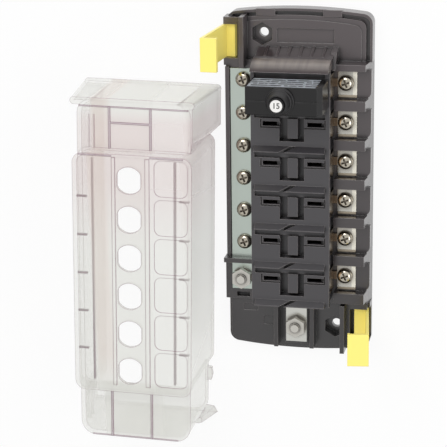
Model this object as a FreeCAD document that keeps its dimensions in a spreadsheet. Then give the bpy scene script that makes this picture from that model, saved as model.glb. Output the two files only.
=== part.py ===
import FreeCAD, Part
import math
import os
import Sketcher
from FreeCAD import Placement, Rotation, Vector

# A six way breaker block with a negative bus, its swing latches and its clear cover taken off.
# Frame: origin at the middle of the base's back face, +Y towards the bus feed's far end,
# +Z out of the face that carries the breakers. Lengths are in millimetres.

doc = FreeCAD.newDocument("breaker_block")
sheet = doc.addObject("Spreadsheet::Sheet", "sizes")


class Size:
    """A value with the sheet formula that gives it."""

    def __init__(self, text, value):
        self.text = text
        self.value = value

    def joined(self, other, sign, value):
        return Size("(%s %s %s)" % (text_of(self), sign, text_of(other)), value)

    def __add__(self, other):
        return self.joined(other, "+", self.value + value_of(other))

    def __sub__(self, other):
        return self.joined(other, "-", self.value - value_of(other))

    def __mul__(self, other):
        return self.joined(other, "*", self.value * value_of(other))

    def __truediv__(self, other):
        return self.joined(other, "/", self.value / value_of(other))

    def __radd__(self, other):
        return Size(text_of(other), value_of(other)) + self

    def __rsub__(self, other):
        return Size(text_of(other), value_of(other)) - self

    def __rmul__(self, other):
        return Size(text_of(other), value_of(other)) * self

    def __neg__(self):
        return Size("(-%s)" % self.text, -self.value)


def text_of(value):
    return value.text if isinstance(value, Size) else repr(float(value))


def value_of(value):
    return value.value if isinstance(value, Size) else float(value)


def size(name, value):
    """Write one driving dimension to the sheet and give it back."""
    size.row += 1
    cell = "A%d" % size.row
    sheet.set(cell, str(value))
    sheet.setAlias(cell, name)
    return Size("sizes." + name, float(value))


size.row = 0


# Base outline and levels
base_wide = size("base_wide", 85.6)
base_tall = size("base_tall", 208.0)
base_crown = size("base_crown", 3.0)
base_corner = size("base_corner", 6.0)
foot_rise = size("foot_rise", 3.0)
rim_rise = size("rim_rise", 9.5)
rim_wide = size("rim_wide", 1.5)
groove_wide = size("groove_wide", 2.3)
groove_deep = size("groove_deep", 3.0)
panel_rise = size("panel_rise", 10.0)
panel_step = size("panel_step", 2.6)
deck_rise = size("deck_rise", 14.0)
deck_top = size("deck_top", 74.0)
deck_bottom = size("deck_bottom", -73.0)
deck_right = size("deck_right", 40.4)
ledge_rise = size("ledge_rise", 21.0)

# Sockets and the breakers' pitch
ways = size("ways", 6)
pitch = size("pitch", 23.4)
socket_top = size("socket_top", 60.1)
block_left = size("block_left", -24.0)
block_right = size("block_right", 22.0)
face_rise = size("face_rise", 35.5)
ridge_rise = size("ridge_rise", 38.5)
lip_deep = size("lip_deep", 0.9)
blade_up = size("blade_up", 4.8)
feed_blade = size("feed_blade", -13.2)
load_blade = size("load_blade", 12.8)
post_left = size("post_left", -2.4)
post_right = size("post_right", 3.4)
recess_half = size("recess_half", 7.2)

# Metalwork
bar_thick = size("bar_thick", 1.5)
bus_left = size("bus_left", -39.9)
bus_right = size("bus_right", -25.0)
bus_top = size("bus_top", 69.0)
bus_end = size("bus_end", -66.2)
bus_screw_x = size("bus_screw_x", -32.1)
bus_screw_y = size("bus_screw_y", 62.7)
bus_pitch = size("bus_pitch", 19.76)
tab_wide = size("tab_wide", 12.7)
tab_right = size("tab_right", 34.8)
tab_tall = size("tab_tall", 14.2)
terminal_up = size("terminal_up", 2.3)
terminal_screw = size("terminal_screw", 28.4)
leg_rise = size("leg_rise", 31.0)
feed_end = size("feed_end", -98.0)
negative_stud_y = size("negative_stud_y", -58.6)
positive_stud_x = size("positive_stud_x", -0.9)
positive_stud_y = size("positive_stud_y", -87.6)
stud_radius = size("stud_radius", 3.1)
washer_radius = size("washer_radius", 6.0)
washer_thick = size("washer_thick", 1.0)
nut_flats = size("nut_flats", 10.8)
nut_tall = size("nut_tall", 4.2)
head_radius = size("head_radius", 4.5)
head_tall = size("head_tall", 3.1)
cross_wide = size("cross_wide", 1.1)
cross_long = size("cross_long", 4.6)
shank_radius = size("shank_radius", 2.0)
shank_long = size("shank_long", 7.5)
fit_gap = size("fit_gap", 0.1)
free_gap = size("free_gap", 0.3)

# Breaker
case_left = size("case_left", -22.0)
case_right = size("case_right", 21.4)
case_tall = size("case_tall", 16.2)
case_height = size("case_height", 25.5)
case_wall = size("case_wall", 1.8)
seam_gap = size("seam_gap", 0.05)
blade_wide = size("blade_wide", 6.4)
blade_thick = size("blade_thick", 0.8)
button_x = size("button_x", -2.1)
button_radius = size("button_radius", 4.3)
button_out = size("button_out", 12.0)
collar_radius = size("collar_radius", 8.2)
collar_tall = size("collar_tall", 9.6)
disc_radius = size("disc_radius", 3.9)

# Latches
latch_wide = size("latch_wide", 19.4)
latch_y = size("latch_y", 84.6)
pivot_x = size("pivot_x", -40.6)
lower_latch_y = size("lower_latch_y", -86.0)
lower_pivot_x = size("lower_pivot_x", 38.2)
lower_lean = size("lower_lean", 8.0)
lower_hook = size("lower_hook", 12.4)
pivot_z = size("pivot_z", 8.0)
pin_radius = size("pin_radius", 1.2)
latch_reach = size("latch_reach", 49.0)
latch_thick = size("latch_thick", 1.8)
hook_long = size("hook_long", 9.6)
latch_lean = size("latch_lean", 5.0)
ear_thick = size("ear_thick", 4.2)
ear_rise = size("ear_rise", 14.0)

# Mounting
hole_x = size("hole_x", 21.8)
hole_y = size("hole_y", 88.7)
hole_radius = size("hole_radius", 2.7)
hex_flats = size("hex_flats", 11.9)
hex_floor = size("hex_floor", 3.6)

# Cover
cover_wide = size("cover_wide", 70.4)
cover_tall = size("cover_tall", 211.0)
cover_corner = size("cover_corner", 9.0)
cover_wall = size("cover_wall", 2.0)
cover_crown = size("cover_crown", 2.0)
shoulder_rise = size("shoulder_rise", 50.0)
shoulder_half = size("shoulder_half", 33.4)
skirt_rise = size("skirt_rise", 34.0)
cover_rise = size("cover_rise", 63.0)
skirt_half = size("skirt_half", 41.0)
skirt_low = size("skirt_low", 79.0)
window_wide = size("window_wide", 14.0)
window_radius = size("window_radius", 8.0)
cover_x = size("cover_x", -91.3)
cover_y = size("cover_y", -48.9)
cover_turn = size("cover_turn", -1.1)

# Heights and places that follow from them
bar_top = deck_rise + bar_thick
block_bottom = socket_top - pitch * (ways - 0.5)
block_top = socket_top + pitch / 2
terminal_y = socket_top + terminal_up
blade_y = socket_top + blade_up
case_floor = face_rise + free_gap
case_rise = face_rise + case_height
button_rise = case_rise + button_out
case_low = socket_top + 0.4 - case_tall / 2
case_high = socket_top + 0.4 + case_tall / 2
seam = socket_top + 0.4
half_wide = base_wide / 2
span = pitch * (ways - 1)
last_terminal_y = terminal_y - span
negative_stud_x = bus_left + tab_wide / 2


def root(value):
    return Size("sqrt(%s)" % value.text, value.value ** 0.5)


def bind(thing, path, value):
    thing.setExpression(path, text_of(value))


def new_body(label):
    body = doc.addObject("PartDesign::Body", label)
    body.Label = label
    return body


def origin_of(body, role):
    for feature in body.Origin.OriginFeatures:
        if feature.Role == role:
            return feature
    raise ValueError(role)


def sketch_on(body, plane, x=0.0, y=0.0, z=0.0):
    """A sketch on one of the body's own planes, moved by x, y and z in that plane's axes."""
    sketch = body.newObject("Sketcher::SketchObject", body.Name + "_sketch")
    sketch.AttachmentSupport = (origin_of(body, plane), [""])
    sketch.MapMode = "FlatFace"
    bind(sketch, "AttachmentOffset.Base.x", x)
    bind(sketch, "AttachmentOffset.Base.y", y)
    bind(sketch, "AttachmentOffset.Base.z", z)
    return sketch


def fix_point(sketch, edge, end, x, y):
    """Tie one end of an edge to a place measured from the sketch's origin."""
    for kind, value in (("DistanceX", x), ("DistanceY", y)):
        rule = Sketcher.Constraint(kind, -1, 1, edge, end, value_of(value))
        number = sketch.addConstraint(rule)
        if isinstance(value, Size):
            sketch.setExpression("Constraints[%d]" % number, value.text)


def arc_through(start, end, radius, side):
    """An arc of a known radius; side is +1 where it bulges to the left of the way to its end."""
    chord = end - start
    middle = (start + end) * 0.5
    across = Vector(-chord.y, chord.x, 0).normalize() * side
    drop = (radius ** 2 - (chord.Length / 2) ** 2) ** 0.5
    top = middle + across * (radius - drop)
    return Part.Arc(start, top, end)


def outline(sketch, points):
    """A closed outline. A point is (x, y), or (x, y, radius, side) where an arc leads to it."""
    places = [Vector(value_of(p[0]), value_of(p[1]), 0) for p in points]
    count = len(points)
    for i in range(count):
        start = places[i - 1]
        end = places[i]
        if len(points[i]) == 4:
            radius = points[i][2]
            edge = arc_through(start, end, value_of(radius), points[i][3])
        else:
            edge = Part.LineSegment(start, end)
        sketch.addGeometry(edge, False)
    ends = []
    for i in range(count):
        flipped = False
        if len(points[i]) == 4:
            first = sketch.getPoint(i, 1)
            flipped = (first - places[i - 1]).Length > 0.001
        ends.append((2, 1) if flipped else (1, 2))
    for i in range(count):
        after = (i + 1) % count
        sketch.addConstraint(Sketcher.Constraint("Coincident", i, ends[i][1], after, ends[after][0]))
    for i in range(count):
        fix_point(sketch, i, ends[i][1], points[i][0], points[i][1])
        if len(points[i]) == 4:
            rule = Sketcher.Constraint("Radius", i, value_of(points[i][2]))
            number = sketch.addConstraint(rule)
            if isinstance(points[i][2], Size):
                sketch.setExpression("Constraints[%d]" % number, points[i][2].text)


def circle(sketch, radius):
    sketch.addGeometry(Part.Circle(Vector(0, 0, 0), Vector(0, 0, 1), value_of(radius)), False)
    sketch.addConstraint(Sketcher.Constraint("Coincident", 0, 3, -1, 1))
    number = sketch.addConstraint(Sketcher.Constraint("Radius", 0, value_of(radius)))
    if isinstance(radius, Size):
        sketch.setExpression("Constraints[%d]" % number, radius.text)


def raise_from(body, sketch, length):
    pad = body.newObject("PartDesign::Pad", body.Name + "_pad")
    pad.Profile = sketch
    bind(pad, "Length", length)
    return pad


def cut_from(body, sketch, length):
    pocket = body.newObject("PartDesign::Pocket", body.Name + "_pocket")
    pocket.Profile = sketch
    bind(pocket, "Length", length)
    return pocket


def plate(body, points, low, high, cut=False):
    """A flat shape drawn in plan, between two heights."""
    sketch = sketch_on(body, "XY_Plane", z=high if cut else low)
    outline(sketch, points)
    return (cut_from if cut else raise_from)(body, sketch, high - low)


def corners(left, right, bottom, top):
    return [(left, bottom), (right, bottom), (right, top), (left, top)]


def block(body, left, right, bottom, top, low, high, cut=False):
    return plate(body, corners(left, right, bottom, top), low, high, cut)


def disc(body, x, y, radius, low, high, cut=False):
    sketch = sketch_on(body, "XY_Plane", x=x, y=y, z=high if cut else low)
    circle(sketch, radius)
    return (cut_from if cut else raise_from)(body, sketch, high - low)


def hexagon(body, x, y, flats, low, high, cut=False):
    """A hexagon with its flats on the left and right."""
    half = flats / 2
    point = flats * 0.57735
    shoulder = point / 2
    points = [(half, shoulder), (0.0, point), (-half, shoulder)]
    points += [(-half, -shoulder), (0.0, -point), (half, -shoulder)]
    sketch = sketch_on(body, "XY_Plane", x=x, y=y, z=high if cut else low)
    outline(sketch, points)
    return (cut_from if cut else raise_from)(body, sketch, high - low)


def along_x(body, points, left, right, cut=False):
    """A profile drawn in Y and Z, drawn out between two places on X."""
    sketch = sketch_on(body, "YZ_Plane", z=right if cut else left)
    outline(sketch, points)
    return (cut_from if cut else raise_from)(body, sketch, right - left)


def along_y(body, points, bottom, top, cut=False):
    """A profile drawn in X and Z, drawn out between two places on Y."""
    sketch = sketch_on(body, "XZ_Plane", z=-bottom if cut else -top)
    outline(sketch, points)
    return (cut_from if cut else raise_from)(body, sketch, top - bottom)


def bore_y(body, x, z, radius, bottom, top, cut=True):
    sketch = sketch_on(body, "XZ_Plane", x=x, y=z, z=-bottom if cut else -top)
    circle(sketch, radius)
    return (cut_from if cut else raise_from)(body, sketch, top - bottom)


def turned(body, points, x=0.0, y=0.0):
    """A turned piece: points are (radius, height), spun about an upright axis at x, y."""
    sketch = sketch_on(body, "XZ_Plane", x=x, z=-y if isinstance(y, Size) else -y)
    outline(sketch, points)
    spin = body.newObject("PartDesign::Revolution", body.Name + "_spin")
    spin.Profile = sketch
    spin.ReferenceAxis = (sketch, ["V_Axis"])
    spin.Angle = 360.0
    return spin


def repeat_down(body, features, length, count):
    """Copies of some features, spaced evenly along -Y."""
    pattern = body.newObject("PartDesign::LinearPattern", body.Name + "_row")
    pattern.Originals = features
    pattern.Direction = (origin_of(body, "Y_Axis"), [""])
    pattern.Reversed = True
    bind(pattern, "Length", length)
    bind(pattern, "Occurrences", count)
    body.Tip = pattern
    return pattern


def half_turn(body, features):
    """The same features again, turned half round about Z."""
    pattern = body.newObject("PartDesign::PolarPattern", body.Name + "_turn")
    pattern.Originals = features
    pattern.Axis = (origin_of(body, "Z_Axis"), [""])
    pattern.Angle = 360.0
    pattern.Occurrences = 2
    body.Tip = pattern
    return pattern


def crowned(body, wide, tall, crown, corner, low, high, x=0.0, y=0.0, cut=False):
    """A plate with straight sides, gently crowned ends and rounded corners."""
    half = wide / 2
    arc = (half * half + crown * crown) / (crown * 2)
    middle = tall / 2 - arc
    reach = arc - corner
    rise = root(reach * reach - (half - corner) * (half - corner))
    side = middle + rise
    meet_x = arc * (half - corner) / reach
    meet_y = middle + arc * rise / reach
    points = [(half, -side), (half, side), (meet_x, meet_y, corner, -1), (-meet_x, meet_y, arc, -1)]
    points += [(-half, side, corner, -1), (-half, -side), (-meet_x, -meet_y, corner, -1)]
    points += [(meet_x, -meet_y, arc, -1)]
    points[0] = (half, -side, corner, -1)
    sketch = sketch_on(body, "XY_Plane", x=x, y=y, z=high if cut else low)
    outline(sketch, points)
    return (cut_from if cut else raise_from)(body, sketch, high - low)


def base_housing():
    body = new_body("base_housing")
    crowned(body, base_wide, base_tall, base_crown, base_corner, 0.0, rim_rise)
    inside = base_wide - rim_wide * 2
    length = base_tall - rim_wide * 2
    corner = base_corner - rim_wide
    crowned(body, inside, length, base_crown, corner, rim_rise - groove_deep, rim_rise, cut=True)
    spare = groove_wide - 0.4
    shift = -(groove_wide + 0.4) / 2
    crowned(body, inside - spare, length - spare, base_crown, corner, 0.0, rim_rise, shift, shift)
    spare = spare + panel_step
    shift = shift - panel_step / 2
    crowned(body, inside - spare, length - spare, base_crown, corner, 0.0, panel_rise, shift, shift)
    base_decks(body)
    base_bays(body)
    base_ends(body)
    base_seats(body)
    return body


def base_decks(body):
    """The raised middle that carries the bars, the stud decks and the end shroud."""
    block(body, -half_wide, deck_right - 1.0, deck_bottom, deck_top, 0.0, deck_rise)
    wall = [(deck_right - 4.0, 0.0), (half_wide, 0.0), (deck_right + 0.8, deck_rise), (deck_right - 4.0, deck_rise)]
    along_y(body, wall, deck_bottom, deck_top)
    bulge = half_wide + 1.3
    bar_low = negative_stud_y + 9.8
    block(body, -bulge, bus_left, deck_bottom, bar_low + 2.8, 0.0, deck_rise)
    block(body, -bulge, block_left - 0.4, bar_low, bar_low + 2.8, deck_rise, ledge_rise - 1.0)
    block(body, -half_wide, bus_left - 0.4, bar_low, bus_top + 1.0, deck_rise, bar_top + 0.8)
    window_top = bar_top + free_gap
    block(body, bus_left - 0.2, block_left - 0.4, bar_low - 0.1, bar_low + 2.9, deck_rise, window_top, True)
    half_tab = tab_wide / 2 + 0.8
    stud_left = positive_stud_x - half_tab
    stud_right = positive_stud_x + half_tab
    block(body, stud_left, stud_right, feed_end - 1.6, deck_bottom, panel_rise, deck_rise)
    shroud = [(deck_top - 2.1, panel_rise), (deck_top + 7.5, panel_rise), (deck_top + 3.6, panel_rise + 12.0)]
    crest = (block_top + 0.1, ridge_rise, 19.0, -1)
    along_x(body, shroud + [crest], block_left, block_right - 0.6)
    shroud_trim(body)


def shroud_trim(body):
    """Shallow upright ribs on the shroud's foot, its end gusset and two tabs on the rim."""
    foot = deck_top + 7.5
    waist = deck_top + 3.6
    for step in range(6):
        left = block_left + 5.0 + pitch * 0.29 * step
        rib = [(waist - 1.0, panel_rise), (foot + 0.7, panel_rise), (waist + 0.5, panel_rise + 11.0)]
        along_x(body, rib + [(waist - 1.0, panel_rise + 11.0)], left, left + 1.4)
    gusset = [(deck_top - 3.0, panel_rise), (foot + 0.6, panel_rise), (foot - 1.2, panel_rise + 7.0)]
    along_x(body, gusset + [(deck_top - 3.0, panel_rise + 14.0)], block_right - 2.0, block_right + 1.2)
    edge = base_tall / 2
    for left, right in ((-25.3, -14.1), (14.1, 25.0)):
        block(body, left, right, edge - 4.6, edge - 0.5, panel_rise - 4.0, panel_rise - 0.1)
    for left, right, low, high in ((-34.0, -25.5, -81.5, -77.0), (-22.0, -16.0, -90.0, -84.6)):
        block(body, left, right, low, high, panel_rise - 0.5, panel_rise, True)
    block(body, bus_left + 2.4, bus_left + 10.4, deck_bottom + 1.4, deck_bottom + 4.4, panel_rise, deck_rise, True)


def base_bays(body):
    """Six open bays for the output terminals, with ledges between them and a lip outside."""
    bay_y = terminal_y - 0.9
    bay_half = size("bay_half", 8.7)
    inner = block_right + 0.3
    low_end = bay_y - span - bay_half - 6.4
    ledge = [(inner, deck_rise), (deck_right + 0.8, deck_rise), (deck_right, ledge_rise), (inner, ledge_rise)]
    along_y(body, ledge, low_end, deck_top)
    bay = block(body, inner - 1.0, deck_right + 2.0, bay_y - bay_half, bay_y + bay_half, deck_rise, ledge_rise, True)
    repeat_down(body, [bay], span, ways)
    lip_right = half_wide + 0.2
    round_in = 4.6
    lip = [(deck_right - 1.0, bay_y - bay_half), (lip_right - round_in, bay_y - bay_half)]
    lip += [(lip_right, bay_y - bay_half + round_in, round_in, -1), (lip_right, bay_y + bay_half)]
    lip += [(deck_right - 1.0, bay_y + bay_half)]
    tongue = plate(body, lip, deck_rise - 3.0, deck_rise)
    repeat_down(body, [tongue], span, ways)


def base_ends(body):
    """What the two ends share, half a turn apart: latch ears, divider rib and mounting recess."""
    latch_seat(body, pivot_x, latch_y, -1.0, 7.4)
    latch_seat(body, lower_pivot_x, lower_latch_y, 1.0, 9.2)
    recess = hexagon(body, -hole_x, hole_y, hex_flats, hex_floor, panel_rise, True)
    half_turn(body, [recess])
    hole = disc(body, -hole_x, hole_y, hole_radius, 0.0, hex_floor + 1.0, True)
    half_turn(body, [hole])
    block(body, -13.0, 20.4, 84.0, 92.2, panel_rise - 0.6, panel_rise, True)
    for rib_x in (positive_stud_x - tab_wide / 2 - 6.6, positive_stud_x + tab_wide / 2 + 2.4):
        block(body, rib_x, rib_x + 2.5, -half_rib(), deck_bottom, panel_rise, ledge_rise - 1.0)


def latch_seat(body, x, y, side, reach):
    """Two ears and a rib round one latch; side is -1 at the left of the base and +1 at its right."""
    gap_half = latch_wide / 2 + free_gap
    low = y - gap_half
    high = y + gap_half
    outer = x + 3.4 * side
    inner = x - reach * side
    left = outer if side < 0 else inner
    right = inner if side < 0 else outer
    block(body, left, right, low - ear_thick, high + ear_thick, foot_rise, ear_rise)
    rib = (right, right + 2.6) if side < 0 else (left - 2.6, left)
    tall_end = high + ear_thick + 1.6 if side < 0 else high + ear_thick
    low_end = low - ear_thick if side < 0 else low - ear_thick - 1.6
    block(body, rib[0], rib[1], low_end, tall_end, panel_rise, ear_rise + 8.0)
    room = reach - 2.4
    left = x - 4.6 if side < 0 else x - room
    right = x + room if side < 0 else x + 4.6
    block(body, left, right, low, high, foot_rise, ear_rise + 1.0, True)
    bore_y(body, x, pivot_z, pin_radius + 0.05, low - ear_thick, high + ear_thick)


def half_rib():
    """How far down the two stud barriers reach."""
    return base_tall / 2 - base_crown - 0.6


def base_seats(body):
    """Blind seats for the screws and studs."""
    seat = shank_radius + fit_gap
    floor = bar_top - shank_long - 0.4
    seats = disc(body, terminal_screw, terminal_y, seat, floor, deck_rise, True)
    repeat_down(body, [seats], span, ways)
    seats = disc(body, bus_screw_x, bus_screw_y, seat, floor, deck_rise, True)
    repeat_down(body, [seats], bus_pitch * 5, 6)
    seat = stud_radius + fit_gap
    disc(body, negative_stud_x, negative_stud_y, seat, floor, deck_rise, True)
    disc(body, positive_stud_x, positive_stud_y, seat, floor, deck_rise, True)


def socket_block():
    body = new_body("socket_block")
    y = socket_top
    block(body, block_left, block_right, block_bottom, block_top, deck_rise, face_rise)
    ledge = [(y - 8.2, face_rise), (y - 11.2, ridge_rise), (y - pitch / 2, ridge_rise)]
    ledge += [(y - pitch / 2, face_rise)]
    wedge = along_x(body, ledge, block_left + 2.0, block_right - 2.6)
    left_lip = [(feed_blade - 5.3, y + 2.2), (post_left - 0.6, y + 2.2), (post_left - 0.6, y + 3.1)]
    left_lip += [(feed_blade - 4.4, y + 3.1), (feed_blade - 4.4, y + 7.4), (feed_blade - 5.3, y + 7.4)]
    right_lip = [(post_right + 3.4, y + 2.2), (load_blade + 7.0, y + 2.2), (load_blade + 7.0, y + 7.4)]
    right_lip += [(load_blade + 6.1, y + 7.4), (load_blade + 6.1, y + 3.1), (post_right + 3.4, y + 3.1)]
    repeat_down(body, [wedge], span, ways)
    lips = [plate(body, points, face_rise - lip_deep, face_rise + 0.1, True) for points in (left_lip, right_lip)]
    repeat_down(body, lips, span, ways)
    socket_hollows(body)
    return body


def socket_hollows(body):
    """What is cut out of each socket, and the channels under the block for the bars."""
    y = socket_top
    top = face_rise
    cuts = [block(body, block_left + 2.0, block_right - 2.6, y + 8.0, y + pitch / 2, top - 2.0, top, True)]
    for left, right in ((-recess_half, post_left), (post_right, recess_half)):
        cuts.append(block(body, left, right, y - 5.4, y + 8.0, top - 6.5, top + 1.0, True))
    cuts.append(block(body, post_left - 0.1, post_right + 0.1, y - 5.4, y - 3.6, top - 6.5, top + 1.0, True))
    for middle in (feed_blade, load_blade):
        left = middle - 3.8
        right = middle + 6.0
        cuts.append(block(body, left, right, y + 3.5, y + 6.1, top - 2.6, top + 1.0, True))
        well = corners(middle - 4.2, middle + 4.2, blade_y - 2.7, blade_y + 2.7)
        cuts.append(plate(body, well, deck_rise, top - 2.5, True))
    notch = [(-8.0, y - 11.8), (-5.0, y - 11.8), (2.4, y - 8.4), (-1.0, y - 8.4)]
    cuts.append(plate(body, notch, top - 1.0, ridge_rise + 0.5, True))
    strip = corners(load_blade - 4.2, block_right + 0.1, blade_y - 3.2, blade_y + 3.2)
    cuts.append(plate(body, strip, deck_rise, bar_top + fit_gap, True))
    repeat_down(body, cuts, span, ways)
    side = block_right - 1.4
    block(body, side, block_right + 0.1, block_bottom, block_top, deck_rise, leg_rise + 1.0, True)
    channel_left = feed_blade - tab_wide / 2 - 0.2
    channel_right = feed_blade + tab_wide / 2 + 0.2
    block(body, channel_left, channel_right, block_bottom, block_top - 1.6, deck_rise, bar_top + fit_gap, True)
    jog_right = positive_stud_x + tab_wide / 2 + 0.2
    block(body, feed_blade, jog_right, block_bottom, block_bottom + 6.2, deck_rise, bar_top + fit_gap, True)


def drill(body, x, y, radius):
    return disc(body, x, y, radius, deck_rise, bar_top, True)


def negative_bus_bar():
    body = new_body("negative_bus_bar")
    neck = negative_stud_y + 11.4
    narrow = bus_left + tab_wide
    points = [(bus_left, bus_end), (narrow, bus_end), (narrow, neck)]
    points += [(bus_right, neck), (bus_right, bus_top), (bus_left, bus_top)]
    plate(body, points, deck_rise, bar_top)
    hole = drill(body, bus_screw_x, bus_screw_y, shank_radius + fit_gap)
    repeat_down(body, [hole], bus_pitch * 5, 6)
    drill(body, negative_stud_x, negative_stud_y, stud_radius + fit_gap)
    return body


def feed_bar():
    body = new_body("feed_bar")
    left = feed_blade - tab_wide / 2
    right = feed_blade + tab_wide / 2
    tab_left = positive_stud_x - tab_wide / 2
    tab_edge = positive_stud_x + tab_wide / 2
    jog = block_bottom + 6.0
    points = [(left, block_bottom + 0.4), (tab_left, block_bottom + 0.4), (tab_left, feed_end)]
    points += [(tab_edge, feed_end), (tab_edge, jog), (right, jog), (right, block_top - 1.8), (left, block_top - 1.8)]
    plate(body, points, deck_rise, bar_top)
    drill(body, positive_stud_x, positive_stud_y, stud_radius + fit_gap)
    return body


def output_terminal(number):
    """One stamped terminal: tab, upright leg against the socket block, tongue under the clip."""
    body = new_body("output_terminal_%d" % number)
    drop = pitch * (number - 1)
    y = terminal_y - drop
    inner = block_right - 1.1
    leg = inner + 0.9
    profile = [(inner, deck_rise), (tab_right, deck_rise), (tab_right, bar_top), (leg, bar_top)]
    profile += [(leg, leg_rise), (inner, leg_rise)]
    along_y(body, profile, y - tab_tall / 2, y + tab_tall / 2)
    for low, high in ((y - tab_tall / 2, y - 2.4), (y + 2.4, y + tab_tall / 2)):
        block(body, leg, leg + 1.9, low, high, deck_rise, bar_top, True)
    tongue_y = blade_y - drop
    block(body, load_blade - 4.0, inner + 0.5, tongue_y - 3.0, tongue_y + 3.0, deck_rise, bar_top)
    drill(body, terminal_screw, y, shank_radius + fit_gap)
    return body


def pan_screw(body, x, y, base):
    """A pan head machine screw standing on a height."""
    tip = base - shank_long
    points = [(0.0, tip), (shank_radius, tip), (shank_radius, base), (head_radius, base)]
    points += [(head_radius, base + 1.2), (head_radius - 1.9, base + head_tall, 2.6, -1), (0.0, base + head_tall)]
    spun = turned(body, points, x, y)
    half = cross_wide / 2
    arm = cross_long / 2
    cross = [(half, half), (half, arm), (-half, arm), (-half, half), (-arm, half), (-arm, -half)]
    cross += [(-half, -half), (-half, -arm), (half, -arm), (half, -half), (arm, -half), (arm, half)]
    turn = math.radians(20.0)
    leaning = [(a * math.cos(turn) - b * math.sin(turn), a * math.sin(turn) + b * math.cos(turn)) for a, b in cross]
    sketch = sketch_on(body, "XY_Plane", x=x, y=y, z=base + head_tall)
    outline(sketch, leaning)
    return [spun, cut_from(body, sketch, head_tall * 0.5)]


def bus_screws():
    body = new_body("negative_bus_screws")
    screw = pan_screw(body, bus_screw_x, bus_screw_y, bar_top)
    repeat_down(body, screw, bus_pitch * 5, 6)
    return body


def output_screws():
    body = new_body("output_screws")
    screw = pan_screw(body, terminal_screw, terminal_y, bar_top)
    repeat_down(body, screw, span, ways)
    return body


def stud_places():
    return ((negative_stud_x, negative_stud_y), (positive_stud_x, positive_stud_y))


def terminal_studs():
    body = new_body("terminal_studs")
    low = bar_top - shank_long
    crown = bar_top + washer_thick + nut_tall + 0.8
    for x, y in stud_places():
        disc(body, x, y, stud_radius, low, crown)
        disc(body, x, y, stud_radius - 0.7, crown, crown + 1.0)
    return body


def stud_washers():
    body = new_body("stud_washers")
    for x, y in stud_places():
        disc(body, x, y, washer_radius, bar_top, bar_top + washer_thick)
        disc(body, x, y, stud_radius + fit_gap, bar_top, bar_top + washer_thick, True)
    return body


def stud_nuts():
    body = new_body("stud_nuts")
    low = bar_top + washer_thick
    for x, y in stud_places():
        hexagon(body, x, y, nut_flats, low, low + nut_tall)
        disc(body, x, y, stud_radius + fit_gap, low, low + nut_tall, True)
    return body


def contact_clips():
    """Twelve folded spring clips, one for each blade of six breakers."""
    body = new_body("contact_clips")
    half = blade_thick / 2 + fit_gap
    thick = 0.6
    out = half + thick
    low = bar_top
    tall = 13.0
    tip = [(blade_y - out - 0.9, low + tall), (blade_y - out - 0.4, low + tall + 0.4)]
    left = [(blade_y + out, low), (blade_y + out, low + tall - 2.0), (blade_y + out + 0.9, low + tall)]
    left += [(blade_y + out + 0.4, low + tall + 0.4), (blade_y + half, low + tall - 1.8)]
    inner = [(blade_y + half, low + thick), (blade_y - half, low + thick), (blade_y - half, low + tall - 1.8)]
    right = [tip[1], tip[0], (blade_y - out, low + tall - 2.0), (blade_y - out, low)]
    profile = left + inner + right
    clips = [along_x(body, profile, x - 3.5, x + 3.5) for x in (feed_blade, load_blade)]
    repeat_down(body, clips, span, ways)
    return body


def breaker_case(label, low, high):
    """One moulded half of the breaker's case, hollow for the mechanism."""
    body = new_body(label)
    tall_left = case_rise
    slope = 3.4
    profile = [(case_left, case_floor), (case_right, case_floor), (case_right, tall_left - slope)]
    profile += [(case_right - slope * 0.75, tall_left), (case_left, tall_left)]
    along_y(body, profile, low, high)
    inner_low = seam - case_tall / 2 + case_wall
    inner_high = seam + case_tall / 2 - case_wall
    floor = case_floor + 2.2
    ceiling = case_rise - 3.0
    shell_low = low if label.endswith("upper") else inner_low
    shell_high = inner_high if label.endswith("upper") else high
    block(body, case_left + case_wall, case_right - case_wall, shell_low, shell_high, floor, ceiling, True)
    disc(body, button_x, seam, button_radius + 0.3, ceiling - 1.0, case_rise + 1.0, True)
    for x in (case_left + 4.2, case_right - 4.2):
        bore_y(body, x, case_rise - 6.0, 1.3, low, high)
    return body


def breaker_blade(label, middle):
    """A flat blade that comes out of the case and plugs into a clip."""
    body = new_body(label)
    left = middle - blade_wide / 2
    right = middle + blade_wide / 2
    tip = bar_top + 4.5
    crown = case_floor + 8.0
    points = [(left + 1.2, tip), (right - 1.2, tip), (right, tip + 1.6), (right, crown), (left, crown)]
    points += [(left, tip + 1.6)]
    along_y(body, points, blade_y - blade_thick / 2, blade_y + blade_thick / 2)
    return body


def breaker():
    upper = breaker_case("breaker_case_upper", seam + seam_gap, case_high)
    for middle in (feed_blade, load_blade):
        wide = blade_wide / 2 + 0.05
        thick = blade_thick / 2 + 0.05
        left = middle - wide
        right = middle + wide
        block(upper, left, right, blade_y - thick, blade_y + thick, case_floor, case_floor + 2.2, True)
    breaker_case("breaker_case_lower", case_low, seam - seam_gap)
    breaker_blade("breaker_line_blade", feed_blade)
    breaker_blade("breaker_load_blade", load_blade)
    breaker_inside()
    breaker_front()


def breaker_inside():
    """The snap strip, its contact arm and the return spring, as far as the case shows room."""
    strip = new_body("breaker_bimetal")
    low = case_floor + 8.0 + fit_gap
    face = blade_y + blade_thick / 2
    points = [(feed_blade - 3.0, low), (feed_blade + 3.0, low), (feed_blade + 3.0, low + 4.0)]
    points += [(load_blade - 4.0, low + 5.6), (load_blade - 4.0, low + 6.4), (feed_blade - 3.0, low + 4.8)]
    along_y(strip, points, face - blade_thick, face)
    arm = new_body("breaker_contact_arm")
    left = load_blade - 3.0
    points = [(left, low), (load_blade + 3.0, low), (load_blade + 3.0, low + 5.0), (left, low + 5.0)]
    along_y(arm, points, face - blade_thick, face)
    rivets = new_body("breaker_rivets")
    for x in (case_left + 4.2, case_right - 4.2):
        bore_y(rivets, x, case_rise - 6.0, 1.2, case_low, case_high, False)


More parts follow.
